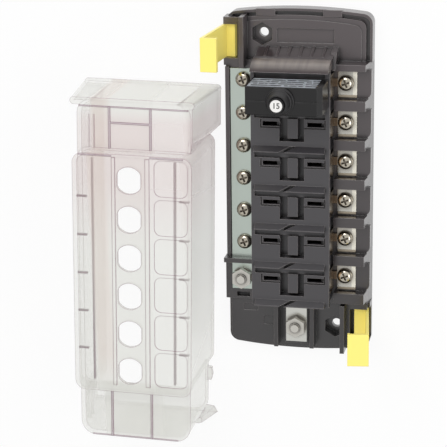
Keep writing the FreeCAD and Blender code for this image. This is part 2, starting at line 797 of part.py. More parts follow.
def breaker_front():
    """The collar moulding, the reset button with its disc, the spring and the side label."""
    collar = new_body("breaker_collar")
    bore = button_radius + free_gap
    lip = bore + 0.9
    low = case_rise
    points = [(bore, low), (collar_radius, low), (collar_radius, low + 1.0), (collar_radius - 0.7, low + 1.5)]
    points += [(collar_radius - 1.0, low + 3.4), (collar_radius - 1.6, low + 3.8), (lip + 0.6, low + 7.0)]
    points += [(lip, low + collar_tall), (bore, low + collar_tall)]
    turned(collar, points, button_x, seam)
    button = new_body("breaker_button")
    foot = case_rise - 8.0
    points = [(0.0, foot), (2.2, foot), (2.2, case_rise - 3.6), (button_radius, case_rise - 3.6)]
    points += [(button_radius, button_rise - 0.6), (button_radius - 0.6, button_rise)]
    points += [(disc_radius - 0.3, button_rise), (disc_radius - 0.3, button_rise - 0.4), (0.0, button_rise - 0.4)]
    turned(button, points, button_x, seam)
    face = new_body("breaker_button_disc")
    disc(face, button_x, seam, disc_radius - 0.4, button_rise - 0.4, button_rise - 0.1)
    coil = new_body("breaker_spring")
    points = [(2.5, foot + 1.0), (3.7, foot + 1.0), (3.7, case_rise - 4.0), (2.5, case_rise - 4.0)]
    turned(coil, points, button_x, seam)
    label = new_body("breaker_label")
    edge = 1.0
    right = case_right - edge - 2.6
    block(label, case_left + edge, right, case_high, case_high + 0.2, case_floor + 4.0, case_rise - edge)


def latch(label, x, y, side, lean, hook_size, inner):
    """A folded plastic latch: hub on its pin, tall web and a hook that holds the cover's shoulder."""
    body = new_body(label)
    out = -(latch_thick + 1.8)
    web = out + latch_thick
    top = latch_reach
    hook = out + hook_size
    lip = hook - 1.4
    points = [(out, -1.5), (-2.1, -3.0), (1.4, -3.0), (inner, -1.0), (inner, 3.0), (web, 3.0)]
    points += [(web, top - latch_thick), (lip, top - latch_thick), (lip, top - latch_thick - 0.9)]
    points += [(hook, top - latch_thick - 0.9), (hook, top), (out, top)]
    along_y(body, points, -(latch_wide / 2), latch_wide / 2)
    bore_y(body, 0.0, 0.0, pin_radius + 0.1, -(latch_wide / 2), latch_wide / 2)
    tilt = Rotation(Vector(0, -1, 0), lean.value)
    turn = Rotation(Vector(0, 0, 1), 0.0 if side < 0 else 180.0)
    body.Placement = Placement(Vector(0, 0, 0), turn.multiply(tilt))
    bind(body, "Placement.Base.x", x)
    bind(body, "Placement.Base.y", y)
    bind(body, "Placement.Base.z", pivot_z)
    return body


def latch_pins():
    body = new_body("latch_pins")
    reach = latch_wide / 2 + free_gap + ear_thick
    bore_y(body, pivot_x, pivot_z, pin_radius, latch_y - reach, latch_y + reach, False)
    bore_y(body, lower_pivot_x, pivot_z, pin_radius, lower_latch_y - reach, lower_latch_y + reach, False)
    return body


def rounded(body, half, low, high, radius, floor, top, cut=False):
    """A box with rounded upright corners, centred on X."""
    points = [(half, low + radius, radius, -1), (half, high - radius), (half - radius, high, radius, -1)]
    points += [(radius - half, high), (-half, high - radius, radius, -1), (-half, low + radius)]
    points += [(radius - half, low, radius, -1), (half - radius, low)]
    return plate(body, points, floor, top, cut)


def cover_shell(body, inset, cut):
    """The cover's outside, or with an inset its hollow."""
    half = shoulder_half - inset
    tall = cover_tall - inset * 2
    corner = cover_corner - inset
    crowned(body, half * 2, tall, cover_crown, corner, 0.0, shoulder_rise - inset, cut=cut)
    run = pitch * ways / 2 - inset
    middle = socket_top - span / 2
    half = cover_wide / 2 - inset
    rounded(body, half, middle - run, middle + run + 4.5, corner * 0.7, 0.0, cover_rise - inset, cut)
    end = cover_tall / 2 - 1.6 - inset
    foot = skirt_half - inset
    brow = shoulder_half + 2.8 - inset
    flare = [(-foot, 0.0), (foot, 0.0), (brow, shoulder_rise - inset), (-brow, shoulder_rise - inset)]
    along_y(body, flare, cover_tall / 2 - 9.5 + inset, end + 0.4, cut)
    for side in (1.0, -1.0):
        reach = (skirt_half - inset) * side
        near = (shoulder_half - inset - 1.0) * side
        low = skirt_low + inset
        wing = [(near * 0.7, end * side), (near * 0.7, (low - 5.0) * side), (near, (low - 5.0) * side)]
        wing += [(reach, low * side), (reach, end * side)]
        plate(body, wing, 0.0, skirt_rise - inset, cut)


def cover():
    body = new_body("cover")
    cover_shell(body, 0.0 * cover_wall, False)
    block(body, shoulder_half - 6.0, skirt_half - 1.0, 1.6 - cover_tall / 2, 4.6 - cover_tall / 2, 0.0, 2.4)
    block(body, cover_wide / 2 - 3.0, cover_wide / 2 + 2.2, -79.0, -75.0, 0.0, 3.0)
    cover_shell(body, cover_wall, True)
    cover_details(body)
    body.Placement = Placement(Vector(0, 0, 0), Rotation(Vector(0, 0, 1), cover_turn.value))
    bind(body, "Placement.Base.x", cover_x)
    bind(body, "Placement.Base.y", cover_y)
    return body


def cover_details(body):
    """Button windows between two rails, label recesses, guide ribs inside and a bridge on the shoulder."""
    run = pitch * ways / 2
    middle = socket_top - span / 2
    low = middle - run
    high = middle + run
    top = cover_rise
    under = cover_rise - cover_wall
    for left, right in ((-10.4, -9.0), (8.4, 10.2)):
        block(body, left, right, low + 1.0, high - 1.0, under, top + 0.9)
    half = window_wide / 2
    side = root(window_radius * window_radius - half * half)
    shape = [(half, side), (-half, side, window_radius, -1), (-half, -side), (half, -side, window_radius, -1)]
    sketch = sketch_on(body, "XY_Plane", y=socket_top, z=top + 1.0)
    outline(sketch, shape)
    window = cut_from(body, sketch, cover_wall + 2.0)
    y = socket_top
    nook = [(14.0, y - 8.6), (29.5, y - 8.6), (33.5, y - 4.6, 4.0, -1), (33.5, y + 9.2), (29.5, y + 13.2, 4.0, -1)]
    nook += [(16.0, y + 13.2), (14.0, y + 11.2, 2.0, -1)]
    recess = plate(body, nook, top - 0.5, top, True)
    repeat_down(body, [window, recess], span, ways)
    for x in (-24.6, 26.4):
        block(body, x, x + 1.2, low + cover_wall, high - cover_wall, top - 5.0, under + 0.5)
    wall = cover_wide / 2 - cover_wall
    tick = y - pitch / 2 - 0.4
    ticks = []
    for side in (-1.0, 1.0):
        for reach, foot in ((5.0, under - 2.4), (0.9, shoulder_rise - 40.0)):
            ends = sorted((side * (wall + 0.5), side * (wall - reach)), key=value_of)
            ticks.append(block(body, ends[0], ends[1], tick, tick + 0.8, foot, under + 0.5))
    repeat_down(body, ticks, span - pitch, ways - 1)
    shoulder = shoulder_rise - cover_wall
    for left, right in ((-15.2, -13.8), (8.8, 10.2)):
        block(body, left, right, high - 1.0, cover_tall / 2 - 2.6, shoulder, shoulder_rise + 1.0)
        block(body, left, right, 2.6 - cover_tall / 2, low + 1.0, shoulder, shoulder_rise + 1.0)
    block(body, -14.8, 9.6, high + 19.4, high + 20.6, shoulder, shoulder_rise + 1.0)


base_housing()
socket_block()
negative_bus_bar()
feed_bar()
for number in range(1, int(ways.value) + 1):
    output_terminal(number)
bus_screws()
output_screws()
terminal_studs()
stud_washers()
stud_nuts()
contact_clips()
breaker()
latch("latch_top", pivot_x, latch_y, -1.0, latch_lean, hook_long, 3.2)
latch("latch_bottom", lower_pivot_x, lower_latch_y, 1.0, lower_lean, lower_hook, 5.0)
latch_pins()
cover()

doc.recompute()

for thing in doc.Objects:
    if "Invalid" in thing.State or "Error" in thing.State:
        raise RuntimeError("failed: " + thing.Label)

os.makedirs("parts", exist_ok=True)
for thing in doc.Objects:
    if thing.TypeId != "PartDesign::Body":
        continue
    shape = thing.Shape
    if shape.isNull() or not shape.isValid():
        raise RuntimeError("bad shape: " + thing.Label)
    print(thing.Label, len(shape.Solids), round(shape.Volume, 1))
    shape.exportStep(os.path.join("parts", thing.Label + ".step"))
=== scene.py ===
import bpy
import math
from mathutils import Matrix, Vector


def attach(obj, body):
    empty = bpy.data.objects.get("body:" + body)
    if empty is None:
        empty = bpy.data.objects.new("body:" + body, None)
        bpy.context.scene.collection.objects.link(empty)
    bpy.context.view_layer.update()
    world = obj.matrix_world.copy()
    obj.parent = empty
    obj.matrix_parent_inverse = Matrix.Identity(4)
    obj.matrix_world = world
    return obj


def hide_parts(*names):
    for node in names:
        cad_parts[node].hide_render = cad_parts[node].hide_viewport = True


# A six way breaker block beside its clear cover, with +Y towards the shroud end of the base
# and +Z out of the face that carries the breakers. Outlines and heights of pieces are in
# millimetres, and the radius of an edge, the print, the lamps and the camera are in metres.

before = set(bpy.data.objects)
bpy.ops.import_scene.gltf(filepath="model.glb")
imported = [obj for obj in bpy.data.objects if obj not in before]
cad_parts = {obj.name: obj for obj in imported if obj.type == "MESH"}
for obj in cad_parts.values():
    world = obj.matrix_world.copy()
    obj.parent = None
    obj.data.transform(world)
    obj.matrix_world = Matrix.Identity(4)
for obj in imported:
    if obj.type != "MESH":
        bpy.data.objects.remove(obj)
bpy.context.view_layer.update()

ways = 6
pitch = 23.4


class Shade:
    """A shader socket on which sums can be written as Python."""

    def __init__(self, tree, socket=None):
        self.tree = tree
        self.socket = socket

    def node(self, kind, settings=None, inputs=None, output=0):
        """Any node: its settings first, then values or links for its sockets."""
        made = self.tree.nodes.new(kind)
        for name, value in (settings or {}).items():
            if name == "stops":
                ramp = made.color_ramp
                while len(ramp.elements) < len(value):
                    ramp.elements.new(0.5)
                for stop, (place, tint) in zip(ramp.elements, value):
                    stop.position = place
                    stop.color = tint
            else:
                setattr(made, name, value)
        for name, value in (inputs or {}).items():
            if isinstance(value, Shade):
                self.tree.links.new(value.socket, made.inputs[name])
            else:
                made.inputs[name].default_value = value
        return Shade(self.tree, made.outputs[output] if len(made.outputs) else None)

    def math(self, operation, *values):
        return self.node("ShaderNodeMath", {"operation": operation}, dict(enumerate(values)))

    def __add__(self, other):
        return self.math("ADD", self, other)

    def __radd__(self, other):
        return self.math("ADD", other, self)

    def __sub__(self, other):
        return self.math("SUBTRACT", self, other)

    def __rsub__(self, other):
        return self.math("SUBTRACT", other, self)

    def __mul__(self, other):
        return self.math("MULTIPLY", self, other)

    def __rmul__(self, other):
        return self.math("MULTIPLY", other, self)

    def __gt__(self, other):
        return self.math("GREATER_THAN", self, other)

    def __lt__(self, other):
        return self.math("LESS_THAN", self, other)


def colour(red, green, blue):
    """A colour picked on a 0 to 255 scale, as the shader wants it."""
    levels = []
    for level in (red, green, blue):
        part = level / 255
        levels.append(part / 12.92 if part < 0.04045 else ((part + 0.055) / 1.055) ** 2.4)
    return (*levels, 1.0)


def new_finish(name):
    finish = bpy.data.materials.new(name)
    finish.use_nodes = True
    finish.node_tree.nodes.clear()
    return finish, Shade(finish.node_tree)


def end_with(tree, surface):
    tree.node("ShaderNodeOutputMaterial", None, {"Surface": surface})


def object_place(tree):
    """Where a point lies on the object, in metres."""
    return tree.node("ShaderNodeTexCoord", output="Object")


def along(tree, axis):
    """How far along one axis a point lies, in millimetres."""
    return tree.node("ShaderNodeSeparateXYZ", None, {"Vector": object_place(tree)}, axis) * 1000.0


def span(value, start, end):
    """From nothing at the start to 1 at the end."""
    return value.node("ShaderNodeMapRange", None, {"Value": value, "From Min": start, "From Max": end})


def blend(mask, first, second):
    """The second colour where the mask is 1, the first where it is 0."""
    return mask.node("ShaderNodeMix", {"data_type": "RGBA"}, {"Factor": mask, 6: first, 7: second}, 2)


def noise(tree, stretch, detail):
    """Noise on the object, with its scale along each axis."""
    stretched = tree.node("ShaderNodeMapping", None, {"Vector": object_place(tree), "Scale": stretch})
    return tree.node("ShaderNodeTexNoise", None, {"Vector": stretched, "Scale": 1.0, "Detail": detail})


def soft_edges(tree, radius, relief=None, strength=0.0):
    """Normals that round every sharp edge a little, with an optional fine relief on top."""
    rounded = tree.node("ShaderNodeBevel", {"samples": 6}, {"Radius": radius})
    if relief is None:
        return rounded
    return tree.node("ShaderNodeBump", None, {
        "Strength": strength, "Distance": 0.0002, "Height": relief, "Normal": rounded})


def edge_mask(tree, radius):
    """1 on edges, 0 on open faces."""
    rounded = tree.node("ShaderNodeBevel", {"samples": 8}, {"Radius": radius})
    flat = tree.node("ShaderNodeNewGeometry", output="True Normal")
    match = tree.node("ShaderNodeVectorMath", {"operation": "DOT_PRODUCT"}, {0: rounded, 1: flat}, 1)
    bend = (1.0 - match) * 4.0
    return bend.math("MINIMUM", bend, 1.0)


def openness(tree, same_piece):
    """1 in the open, towards 0 in corners and recesses."""
    open_sky = tree.node("ShaderNodeAmbientOcclusion", {"samples": 8, "only_local": same_piece},
                         {"Distance": 0.003}, 1)
    return open_sky * open_sky


def brow_streaks(tree):
    """The fine vertical streaks where the shroud's rounded brow catches the light."""
    height = along(tree, 2)
    brow = span(height, 23.0, 29.0) * span(height, 38.0, 33.0)
    brow = brow * span(along(tree, 1), 70.0, 72.0) * span(along(tree, 0), -26.0, -20.0)
    streaks = span(noise(tree, (330.0, 30.0, 30.0), 2.0), 0.25, 0.7)
    return brow * (streaks * 0.4 + 0.5)


def plastic(name, tint, roughness, edge=0.0003, glow=0.0):
    """Plain moulded plastic or rubber; with a glow it glows a little in its own tint, as painted light."""
    finish, tree = new_finish(name)
    surface = tree.node("ShaderNodeBsdfPrincipled", None, {
        "Base Color": tint, "Roughness": roughness,
        "Emission Color": tint, "Emission Strength": glow, "Normal": soft_edges(tree, edge)})
    end_with(tree, surface)
    return finish


def black_moulding(name, tint, roughness, ior, coat, shroud_end_light=None, brow=None):
    """Black moulding with fine grain, painted shade in its recesses and painted highlights on its edges;
    with a tint for the shroud end it is painted lighter towards that end, and with a brow colour it gets a
    painted highlight along the shroud's brow.
    """
    finish, tree = new_finish(name)
    edge = 0.0004
    # Painted light: the housing is graded lighter towards its shroud end.
    if shroud_end_light:
        tint = blend(span(along(tree, 1), -95.0, 70.0), tint, shroud_end_light)
    # Painted highlight: lighter streaks along the shroud's rounded brow.
    if brow:
        tint = blend(brow_streaks(tree), tint, brow)
    grain = tree.node("ShaderNodeTexNoise", None, {
        "Vector": object_place(tree), "Scale": 2600.0, "Detail": 2.0})
    in_open = openness(tree, True)
    # Painted shade: the tint goes near black in corners and recesses.
    tint = blend(in_open, colour(12, 9, 10), tint)
    # Painted highlight: a pale line along the open edges.
    tint = blend(edge_mask(tree, edge) * in_open, tint, colour(138, 130, 130))
    surface = tree.node("ShaderNodeBsdfPrincipled", None, {
        "Base Color": tint, "Roughness": roughness, "IOR": ior,
        "Coat Weight": in_open * coat, "Coat Roughness": 0.3, "Normal": soft_edges(tree, edge, grain, 0.05)})
    end_with(tree, surface)
    return finish


def metal(name, tint, roughness, brushed=0.0, zones=(), corner_shade=None):
    """Metal, with other tints past the places in zones (mm along X), and a darker tint painted in its
    corners as shade.
    """
    finish, tree = new_finish(name)
    for start, beyond in zones:
        tint = blend(along(tree, 0) > start, tint, beyond)
    lines = noise(tree, (900.0, 120.0, 900.0), 3.0) if brushed else None
    # Painted shade: the metal takes the darker tint in corners and next to other parts.
    if corner_shade:
        tint = blend(openness(tree, False), corner_shade, tint)
    surface = tree.node("ShaderNodeBsdfPrincipled", None, {
        "Base Color": tint, "Metallic": 1.0, "Roughness": roughness,
        "Normal": soft_edges(tree, 0.0002, lines, brushed)})
    end_with(tree, surface)
    return finish


def across_cover(tree):
    """How far right of the laid down cover's middle a point lies, in millimetres."""
    slant = 0.0192
    middle = -92.2
    return along(tree, 0) + along(tree, 1) * slant - middle


def clear_plastic(name, tint, line):
    """Clear moulding: pale on its faces, and darkest along its edges."""
    finish, tree = new_finish(name)
    end_with(tree, clear_surface(tree, tint, line, 0.5))
    return finish


def zoned_clear_plastic(name, tint, line, under_cap_shade, warm_shade_tint):
    """Clear moulding with painted shade, a darker tint below its cap and a warm strip left of the windows,
    and which hides less at its left side and over its label recesses.
    """
    finish, tree = new_finish(name)
    up = along(tree, 1)
    across = across_cover(tree)
    # Painted shade: a darker, pinker band below the cap.
    tint = blend(span(up, -30.0, 10.0) * span(up, 50.0, 42.0), tint, under_cap_shade)
    # Painted shade: a warm, darker strip left of the windows, where the left wall shows through.
    warm = span(across, -23.0, -21.0) * span(across, -10.0, -13.0) * span(up, -116.0, -96.0)
    tint = blend(warm * 0.6, tint, warm_shade_tint)
    left_side = span(across, -21.5, -23.5) * 0.22
    label_side = span(across, 12.5, 14.5) * span(across, 33.5, 32.5) * 0.1
    end_with(tree, clear_surface(tree, tint, line, 0.5 - (left_side + label_side)))
    return finish


def clear_surface(tree, tint, line, body):
    """A clear wall, of which body says how much it hides away from its edges."""
    radius = 0.0008
    edge = edge_mask(tree, radius)
    tinted = blend(edge, tint, line)
    # Painted light: each clear wall glows a little in its own tint, which evens out its shading.
    return tree.node("ShaderNodeBsdfPrincipled", None, {
        "Base Color": tinted, "Roughness": 0.25, "IOR": 1.4,
        "Emission Color": tinted, "Emission Strength": 0.3,
        "Alpha": edge * 0.4 + body, "Normal": soft_edges(tree, radius)})


def label_print(name, film, ink):
    """A pale film with rows of small grey print."""
    finish, tree = new_finish(name)
    row_gap = 2.4
    row_height = 1.3
    height = along(tree, 2)
    inked = height.math("PINGPONG", height, row_gap) < row_height
    words = inked * (noise(tree, (330.0, 1.0, 208.0), 1.0) > 0.42)
    surface = tree.node("ShaderNodeBsdfPrincipled", None, {
        "Base Color": blend(words, film, ink), "Roughness": 0.35, "Normal": soft_edges(tree, 0.0001)})
    end_with(tree, surface)
    return finish


# Painted light on the housing: lighter towards the shroud end, and a painted highlight along the brow.
housing = black_moulding("black_housing", colour(24, 19, 21), 0.24, 1.7, 0.5,
                         shroud_end_light=colour(67, 58, 60), brow=colour(138, 128, 121))
sockets = black_moulding("socket_moulding", colour(62, 60, 63), 0.3, 1.5, 0.4)
case_black = plastic("breaker_case_black", colour(10, 9, 10), 0.22, edge=0.0006)
rubber = plastic("collar_rubber", colour(38, 37, 38), 0.5, edge=0.0005)
button_black = plastic("button_black", colour(30, 29, 31), 0.3, edge=0.0004)
disc_white = plastic("disc_white", colour(240, 239, 236), 0.45, edge=0.0001)
# Painted light: the latches glow a little in their own yellow.
latch_yellow = plastic("latch_yellow", colour(238, 222, 118), 0.34, edge=0.0006, glow=0.26)
ink_black = plastic("ink_black", colour(35, 33, 34), 0.5, edge=0.00002)
bus_metal = metal("tin_plated_bar", colour(196, 206, 198), 0.3, brushed=0.1)
# The tint given for corners on the metals below is painted shade.
plated = metal("plated_bar", colour(214, 214, 208), 0.24, brushed=0.08, corner_shade=colour(110, 104, 96))
# The tabs carry painted light: a painted brownish shade on necks and legs below 23.5 mm, their own plated
# tint to 32.4 mm, and a painted highlight beyond.
tab_metal = metal("plated_tab", colour(150, 130, 108), 0.22, brushed=0.06, corner_shade=colour(84, 74, 64),
                  zones=[(23.5, colour(208, 206, 198)), (32.4, colour(244, 240, 226))])
nickel = metal("nickel_screw", colour(192, 185, 171), 0.13, corner_shade=colour(84, 76, 66))
apron_metal = metal("apron_metal", colour(198, 186, 166), 0.32)
zinc = metal("bright_zinc", colour(206, 203, 196), 0.14, corner_shade=colour(70, 64, 58))
# Painted shade: the contact clips are coloured dark, as the shade deep in their slots.
clip_metal_painted_shade = metal("clip_metal_painted_shade", colour(62, 54, 46), 0.4)
inner_metal = metal("inner_metal", colour(180, 160, 130), 0.35)
# The cover's last two tints are painted shade: below the cap, and the strip left of the windows.
clear_cover = zoned_clear_plastic("clear_cover", colour(204, 204, 199), colour(116, 80, 96),
                                  colour(198, 188, 185), colour(198, 186, 178))
cover_line = clear_plastic("cover_line", colour(150, 130, 140), colour(104, 72, 86))
label_film = label_print("label_film", colour(186, 192, 200), colour(24, 28, 38))

node_finish = {
    "base_housing": housing,
    "socket_block": sockets,
    "negative_bus_bar": bus_metal,
    "feed_bar": plated,
    "negative_bus_screws": nickel,
    "output_screws": nickel,
    "terminal_studs": zinc,
    "stud_washers": zinc,
    "stud_nuts": zinc,
    "latch_pins": housing,
    "contact_clips": clip_metal_painted_shade,
    "breaker_case_upper": case_black,
    "breaker_case_lower": case_black,
    "breaker_line_blade": plated,
    "breaker_load_blade": plated,
    "breaker_bimetal": inner_metal,
    "breaker_contact_arm": inner_metal,
    "breaker_rivets": inner_metal,
    "breaker_spring": inner_metal,
    "breaker_collar": rubber,
    "breaker_button": button_black,
    "breaker_button_disc": disc_white,
    "breaker_label": label_film,
    "latch_top": latch_yellow,
    "latch_bottom": latch_yellow,
    "cover": clear_cover,
}
for name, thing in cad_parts.items():
    thing.data.materials.clear()
    thing.data.materials.append(node_finish.get(name, tab_metal))


def select_only(thing):
    bpy.ops.object.select_all(action="DESELECT")
    thing.select_set(True)
    bpy.context.view_layer.objects.active = thing


def settle(thing):
    """Put the object's place into its mesh, so that the object itself sits at the origin."""
    select_only(thing)
    bpy.ops.object.transform_apply(location=True, rotation=True, scale=True)


def face_outwards():
    """Turn the active object's faces outwards."""
    bpy.ops.object.mode_set(mode="EDIT")
    bpy.ops.mesh.select_all(action="SELECT")
    bpy.ops.mesh.normals_make_consistent(inside=False)
    bpy.ops.object.mode_set(mode="OBJECT")


def prism(name, outline, low, high, top_outline=None):
    """An upright block from an outline, its top face drawn to another outline if one is given."""
    bpy.ops.object.select_all(action="DESELECT")
    bpy.ops.mesh.primitive_circle_add(vertices=len(outline), radius=1.0, fill_type="NGON")
    block = bpy.context.active_object
    block.name = name
    for corner, (x, y) in zip(block.data.vertices, outline):
        corner.co = (x / 1000, y / 1000, low / 1000)
    bpy.ops.object.mode_set(mode="EDIT")
    bpy.ops.mesh.select_all(action="SELECT")
    bpy.ops.mesh.extrude_region_move(TRANSFORM_OT_translate={"value": (0, 0, (high - low) / 1000)})
    bpy.ops.object.mode_set(mode="OBJECT")
    if top_outline:
        draw_top_to(block, outline, (low + high) / 2, top_outline)
    face_outwards()
    return block


def draw_top_to(block, outline, middle, top_outline):
    """Move each corner above the middle from its place on one outline to its place on the other."""
    for corner in block.data.vertices:
        here = (corner.co.x * 1000, corner.co.y * 1000)
        if corner.co.z > middle / 1000:
            nearest = min(range(len(outline)), key=lambda k: math.dist(here, outline[k]))
            corner.co.x = top_outline[nearest][0] / 1000
            corner.co.y = top_outline[nearest][1] / 1000


def rectangle(left, right, low, high):
    return [(left, low), (right, low), (right, high), (left, high)]


def rounded_box(left, right, low, high, radius, steps=5):
    """The outline of a rectangle with round corners."""
    points = []
    for x, y, start in ((right, high, 0), (left, high, 90), (left, low, 180), (right, low, 270)):
        middle_x = x - math.copysign(radius, x - (left + right) / 2)
        middle_y = y - math.copysign(radius, y - (low + high) / 2)
        for step in range(steps + 1):
            turn = math.radians(start + 90 * step / steps)
            points.append((middle_x + radius * math.cos(turn), middle_y + radius * math.sin(turn)))
    return points


def combine(thing, others, operation):
    """Join to, or cut from, one piece the others, which are then gone."""
    for other in others:
        select_only(thing)
        change = thing.modifiers.new("combine", "BOOLEAN")
        change.operation = operation
        change.solver = "EXACT"
        change.object = other
        bpy.ops.object.modifier_apply(modifier=change.name)
        bpy.data.objects.remove(other)
    return thing


def base_moulding():
    """The housing as moulded: beside the bays its rim is cut back flush with the sloping side wall."""
    bays_low = -72.75
    bays_high = 73.75
    wall_foot = 43.0
    wall_lean = 1.42
    past_rim = 46.0
    below = -2.0
    rim_top = 10.8
    select_only(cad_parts["base_housing"])
    bpy.ops.object.duplicate()
    moulding = bpy.context.active_object
    moulding.name = "base_moulding"
    bpy.ops.object.mode_set(mode="EDIT")
    bpy.ops.mesh.select_all(action="SELECT")
    bpy.ops.mesh.remove_doubles(threshold=0.000001)
    bpy.ops.object.mode_set(mode="OBJECT")
    foot = rectangle(wall_foot, past_rim, bays_low, bays_high)
    top = rectangle(wall_foot - wall_lean, past_rim, bays_low, bays_high)
    combine(moulding, [prism("rim_cut", foot, below, rim_top, top)], "DIFFERENCE")
    select_only(moulding)
    bpy.ops.mesh.customdata_custom_splitnormals_clear()
    face_outwards()
    bpy.ops.object.shade_smooth_by_angle(angle=math.radians(28))
    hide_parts("base_housing")


# The cover's forms lie round its own middle, each as left, right, low and high
cover_body = (-33.8, 37.0, -70.5, 75.4)
cover_shoulder = (-34.2, 33.6, -104.9, 104.6)
cap_foot = (-43.6, 40.6, 100.2, 105.3)
cap_brow = (-38.4, 35.6, 100.6, 104.9)
body_rise = 63.0
shoulder_rise = 50.0
wing_rise = 49.8
skirt_rise = 33.0
cover_wall = 2.0
cover_place = (-0.0913, -0.0489, 0.0)
cover_turn = -1.1
first_window = 60.1


def drawn_in(form, radius, inset):
    """A form's rounded outline, with its walls drawn in by the inset."""
    left, right, low, high = form
    return rounded_box(left + inset, right - inset, low + inset, high - inset, radius - inset)


def cover_wing(inset, root, side):
    """The outline of the flare that joins the shoulder's right side to the cap."""
    near = 20.0
    low = 74.0
    turn = 81.0
    high = 104.0
    return [(near, low + inset), (root - inset, low + inset), (side - inset, turn + inset),
            (side - inset, high - inset), (near, high - inset)]


def cover_skirt(inset, side):
    """The outline of the skirt that stands out at the cover's lower left."""
    near = -20.0
    root = -78.0
    turn = -82.0
    low = -102.0
    return [(near, root - inset), (side + inset, turn - inset), (side + inset, low + inset),
            (near, low + inset)]


def cover_form(name, inset):
    """The clear cover's outside, or with an inset its hollow: body, shoulder, cap, wing and skirt."""
    foot = -1.0 if inset else 0.0
    left, right, low, high = cover_body
    thin_end = low - inset * 0.75
    body = prism(name, drawn_in((left, right, thin_end, high), 6.0, inset), foot, body_rise - inset)
    shoulder = prism("shoulder", drawn_in(cover_shoulder, 9.0, inset), foot, shoulder_rise - inset)
    cap = prism("cap", drawn_in(cap_foot, 2.5, inset), foot, shoulder_rise - inset,
                drawn_in(cap_brow, 2.1, inset))
    wing = prism("wing", cover_wing(inset, 33.4, 40.4), foot, wing_rise - inset,
                 cover_wing(inset, 33.3, 34.4))
    skirt = prism("skirt", cover_skirt(inset, -40.6), foot, skirt_rise - inset,
                  cover_skirt(inset, -36.0))
    return combine(body, [shoulder, cap, wing, skirt], "UNION")


def cover_feet():
    """The two small feet at the cover's lower right."""
    lip = [(20, -104.6), (36, -104.7), (39.6, -104.3), (37.4, -100.5), (20, -98)]
    lip_top = [(20, -104.6), (32, -104.6), (33.9, -104), (33.7, -101), (20, -98)]
    foot = [(20, -82), (36, -82), (36.8, -78.6), (36.2, -74), (20, -72)]
    return [prism("lip", lip, 0.0, 20.0, lip_top), prism("foot", foot, 0.0, 3.0)]


def line_faces(bar):
    """Give a bar of the cover the darker of its two finishes."""
    bar.data.materials.append(clear_cover)
    bar.data.materials.append(cover_line)
    for face in bar.data.polygons:
        face.material_index = 1


def cover_bar(left, right, low, high, top, dark=True):
    """A fine bar that stands a little out of the cover's top, most of them in the darker finish."""
    depth = 1.6
    bar = prism("bar", rectangle(left, right, low, high), top - depth, top)
    if dark:
        line_faces(bar)
    return bar


def cover_bars():
    """Rails beside the windows, the bridge above and below the body, and the lines along its steps."""
    rails = ((-10.1, -8.1), (9.7, 12.2))
    bridge = ((-15.3, -14.1), (9.2, 10.4))
    rail_top = body_rise + 0.7
    bridge_top = shoulder_rise + 0.7
    bars = [cover_bar(left, right, -66, 73.6, rail_top, dark=False) for left, right in rails]
    bars += [cover_bar(left, right, 74, 100, bridge_top) for left, right in bridge]
    bars.append(cover_bar(-14.6, 9.8, 90.2, 91.2, bridge_top))
    bars += [cover_bar(left, right, -104.4, -67, bridge_top) for left, right in bridge]
    bars.append(cover_bar(-33, 32, 99.6, 100.4, shoulder_rise + 0.4))
    for left, right in ((-30, -10.2), (12.4, 32)):
        bars.append(cover_bar(left, right, 74, 74.8, body_rise + 0.3))
    bars.append(cover_bar(-27, 26, -104.7, -103.9, shoulder_rise + 0.3))
    for left, right in ((-27.2, -26.6), (-24.2, -23.6)):
        bars.append(cover_bar(left, right, 74, 95, shoulder_rise + 0.3, dark=False))
    return bars


def window_outline(middle):
    """A button window: a round hole with its two sides cut straight."""
    radius = 8.1
    half = 7.0
    steps = 28
    outline = []
    for step in range(steps):
        turn = math.radians(360 * step / steps)
        across = max(-half, min(half, radius * math.cos(turn)))
        outline.append((across, middle + radius * math.sin(turn)))
    return outline


def cover_cuts():
    """The hollow, then a button window and a shallow label recess for each way."""
    recess_floor = body_rise - 0.4
    clear = body_rise + 7.0
    cuts = [cover_form("cover_hollow", cover_wall)]
    for way in range(ways):
        middle = first_window - pitch * way
        cuts.append(prism("window", window_outline(middle), 55.0, clear))
        nook = rounded_box(15.0, 34.6, middle - 8.4, middle + 13.0, 4.0)
        cuts.append(prism("nook", nook, recess_floor, clear))
    return cuts


def inner_ribs():
    """Inside the cover: two long ribs, and a pair of ticks between each two ways."""
    rib_top = 61.2
    ribs = []
    for left, right in ((-22.8, -22.0), (26.2, 27.2)):
        ribs.append(prism("rib", rectangle(left, right, -64, 72), 58.5, rib_top))
    for gap in range(ways - 1):
        at = first_window - pitch * (gap + 0.5)
        for left, right in ((-31.9, -26.0), (29.4, 35.1)):
            ribs.append(prism("tick", rectangle(left, right, at, at + 0.8), 59.0, rib_top))
    for rib in ribs:
        line_faces(rib)
    return ribs


def cover_moulding():
    """The clear cover as moulded, with its rails, bridge, label recesses and button windows."""
    shell = cover_form("cover_moulding", 0.0)
    feet = cover_feet()
    shell.data.materials.append(clear_cover)
    shell.data.materials.append(cover_line)
    combine(shell, feet + cover_bars(), "UNION")
    combine(shell, cover_cuts(), "DIFFERENCE")
    ribs = inner_ribs()
    select_only(shell)
    for rib in ribs:
        rib.select_set(True)
    bpy.ops.object.join()
    shell.rotation_euler.z = math.radians(cover_turn)
    shell.location = cover_place
    settle(shell)
    bpy.ops.object.shade_smooth_by_angle(angle=math.radians(30))
    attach(shell, "clear_cover")
    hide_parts("cover")


